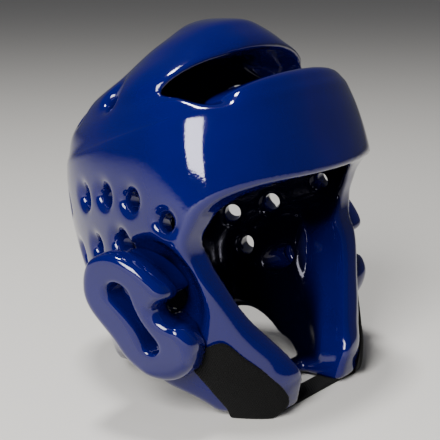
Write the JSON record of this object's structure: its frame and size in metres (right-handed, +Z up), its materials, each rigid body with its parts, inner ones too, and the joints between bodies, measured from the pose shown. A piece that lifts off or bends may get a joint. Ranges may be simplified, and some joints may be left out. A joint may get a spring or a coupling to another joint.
{
  "type": "taekwondo headgear",
  "caption": "Dipped-foam taekwondo headgear with an open face, a crescent above the forehead band, lobed ear pads and a chin strap.",
  "frame": {"origin": "on the floor under the middle of the headgear's bounds", "axes": "+Z up, the face looks along -Y, the wearer's left is +X; the headgear leans back about 20 degrees as it lies"},
  "size_m": [0.2704, 0.2212, 0.2538],
  "materials": {
    "shell_vinyl": "glossy royal blue vinyl dip over closed-cell foam",
    "pad_vinyl": "glossy royal blue vinyl dip over closed-cell foam",
    "webbing": "soft black elastic webbing"
  },
  "bodies": {
    "root": {"shell": "shell_vinyl", "ear_pad_left": "pad_vinyl", "ear_pad_right": "pad_vinyl", "chin_strap": "webbing"}
  },
  "joints": []
}
